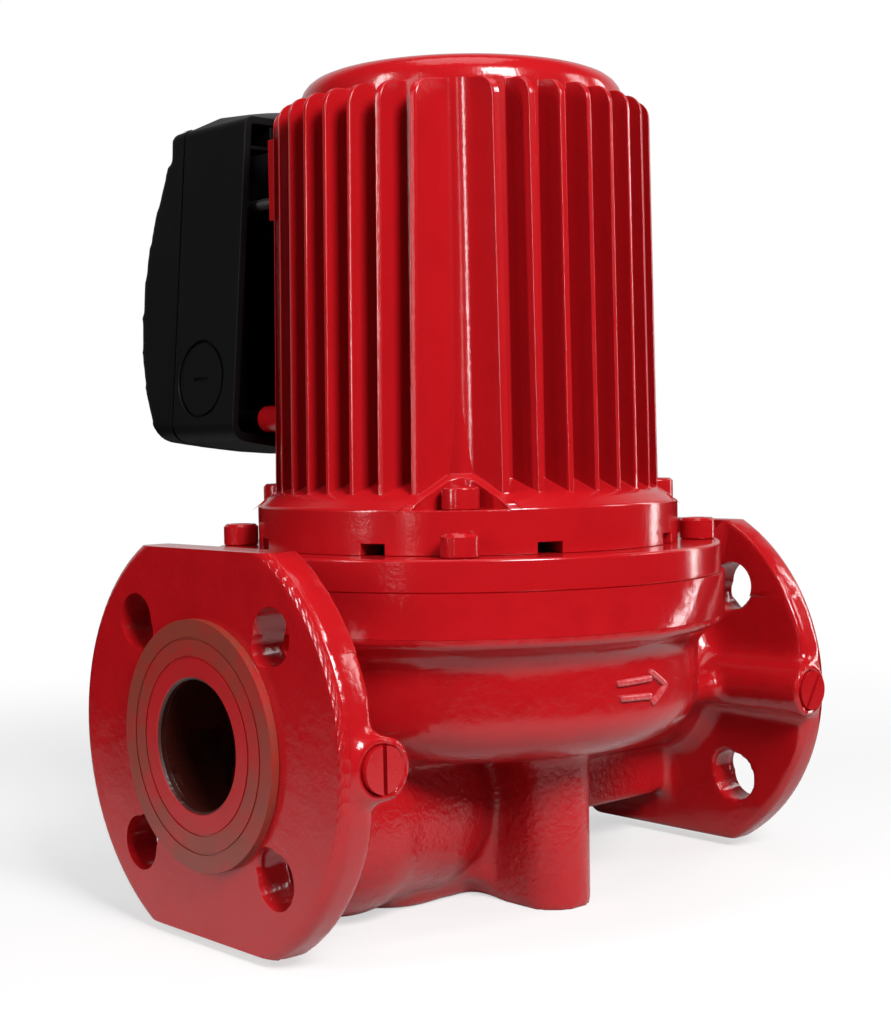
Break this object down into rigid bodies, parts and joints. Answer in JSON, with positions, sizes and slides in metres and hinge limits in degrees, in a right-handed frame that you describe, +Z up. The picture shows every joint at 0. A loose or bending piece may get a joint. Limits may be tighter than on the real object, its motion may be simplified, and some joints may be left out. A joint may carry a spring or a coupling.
{
  "type": "circulation pump",
  "caption": "Flanged inline circulation pump with a cast volute housing, a finned wet-rotor motor above it and a terminal box at the side.",
  "frame": {"origin": "on the shaft axis in the plane of the foot", "axes": "+Z up along the shaft, X from the inlet port (-X) to the outlet port (+X), terminal box on the +Y side"},
  "size_m": [0.25, 0.2209, 0.303],
  "materials": {
    "cast_red": "gloss red enamel on rough cast iron",
    "motor_red": "gloss red enamel on a die-casting",
    "screw_red": "painted over screws",
    "box_black": "fine-grained black plastic",
    "steel": "machined steel",
    "stainless": "drawn stainless sheet",
    "laminations": "varnished laminations",
    "copper": "varnished copper winding",
    "carbon": "carbon bearing",
    "rubber": "black rubber",
    "terminal_plastic": "moulded terminal strip",
    "brass": "turned brass"
  },
  "bodies": {
    "pump": {"pump_housing": "cast_red", "inlet_gauge_plug": "screw_red", "outlet_gauge_plug": "screw_red", "wear_ring": "stainless", "housing_gasket": "rubber", "bearing_plate": "stainless", "lower_bearing": "carbon", "rotor_can": "stainless", "upper_bearing_holder": "stainless", "upper_bearing": "carbon", "stator_core": "laminations", "stator_windings": "copper", "motor_ring": "motor_red", "ring_screws": "screw_red", "motor_housing": "motor_red", "motor_screws": "screw_red", "vent_gasket": "rubber", "lead_grommet": "rubber", "terminal_box_base": "box_black", "terminal_box_gasket": "rubber", "terminal_box_lid": "box_black", "lid_screws": "steel", "box_screws": "steel", "left_entry_plug": "box_black", "right_entry_plug": "box_black", "terminal_block": "terminal_plastic", "terminal_screws": "steel", "earth_screw": "brass"},
    "rotor_assembly": {"shaft": "steel", "rotor": "laminations", "impeller": "stainless", "impeller_nut": "stainless", "thrust_ring": "carbon"},
    "vent_plug": {"vent_plug": "steel"}
  },
  "joints": [
    {"name": "rotor_spin", "type": "hinge", "parent": "pump", "child": "rotor_assembly", "pos_m": [0, 0, 0.2], "axis": [0, 0, 1], "continuous": true},
    {"name": "vent_plug_turn", "type": "hinge", "parent": "pump", "child": "vent_plug", "pos_m": [0, 0, 0.297], "axis": [0, 0, 1], "range_deg": [0, 720]}
  ]
}
